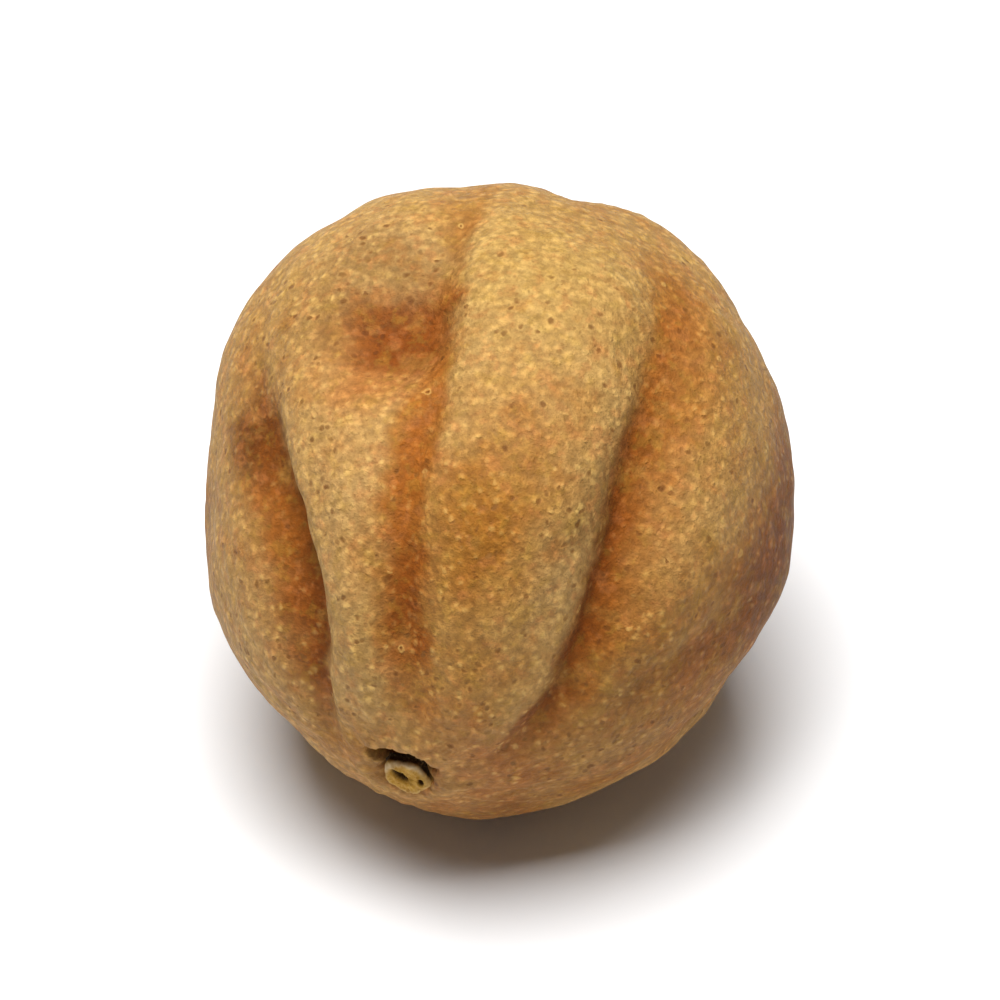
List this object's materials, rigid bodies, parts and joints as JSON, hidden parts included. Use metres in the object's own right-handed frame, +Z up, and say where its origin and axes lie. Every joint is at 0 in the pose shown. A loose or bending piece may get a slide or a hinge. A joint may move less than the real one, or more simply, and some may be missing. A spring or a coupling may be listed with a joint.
{
  "type": "dried lime",
  "caption": "Whole dried lime, a shrunken citrus fruit with deep pole-to-pole folds, hollows and a woody stem button, resting on its side on a small flat spot.",
  "frame": {"origin": "middle of the flat spot that the fruit rests on", "axes": "+Z up; -Y is the side of the stem end, which dips below level; +Y is the side of the blossom end; +X is to the right when looking along +Y"},
  "size_m": [0.0356, 0.0381, 0.0348],
  "materials": {
    "dried_rind": "matte",
    "woody_stem": "matte"
  },
  "bodies": {
    "root": {"fruit_rind": "dried_rind", "stem_button": "woody_stem"}
  },
  "joints": []
}
